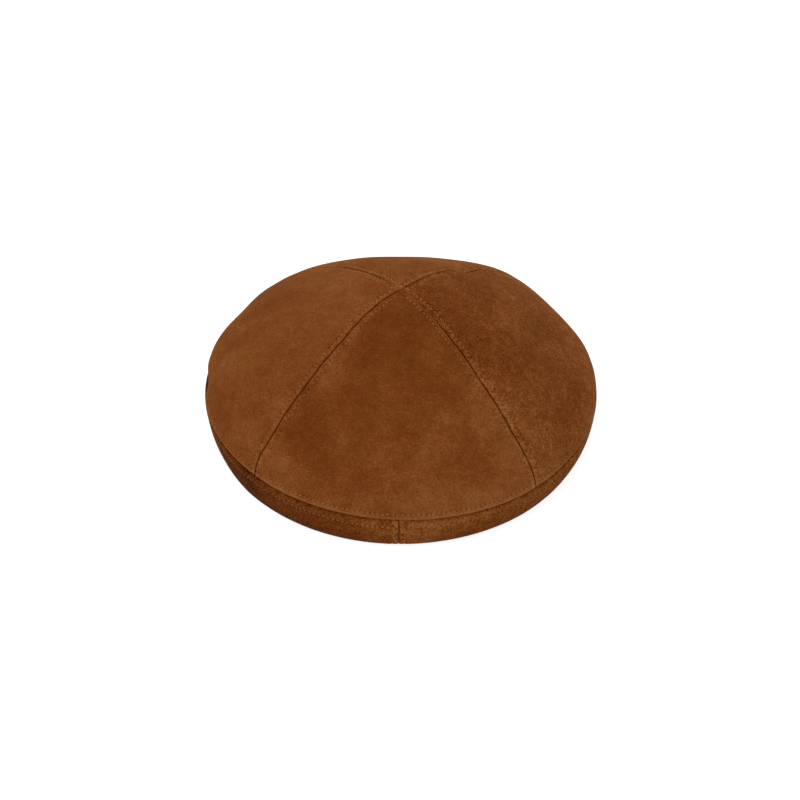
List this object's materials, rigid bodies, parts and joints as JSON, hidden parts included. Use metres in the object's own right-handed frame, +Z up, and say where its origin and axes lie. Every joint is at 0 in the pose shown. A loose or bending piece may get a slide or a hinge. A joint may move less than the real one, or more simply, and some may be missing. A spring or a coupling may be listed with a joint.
{
  "type": "suede beret",
  "caption": "Soft suede beret with a gored domed crown sewn to an under panel that stands up as a low band and turns in to the head opening.",
  "frame": {"origin": "on the surface that the beret rests on, below the middle of the rim", "axes": "+Z up from the head opening to the top of the crown, -Y to the front, +X to the right as the front is looked at"},
  "size_m": [0.2687, 0.2671, 0.1072],
  "materials": {
    "crown_suede": "napped suede, matt",
    "under_suede": "napped suede, matt",
    "thread": "sewing thread of the topstitching"
  },
  "bodies": {
    "root": {"crown_panel_front": "crown_suede", "crown_panel_right": "crown_suede", "crown_panel_back": "crown_suede", "crown_panel_left": "crown_suede", "under_panel_right": "under_suede", "under_panel_left": "under_suede"}
  },
  "joints": []
}
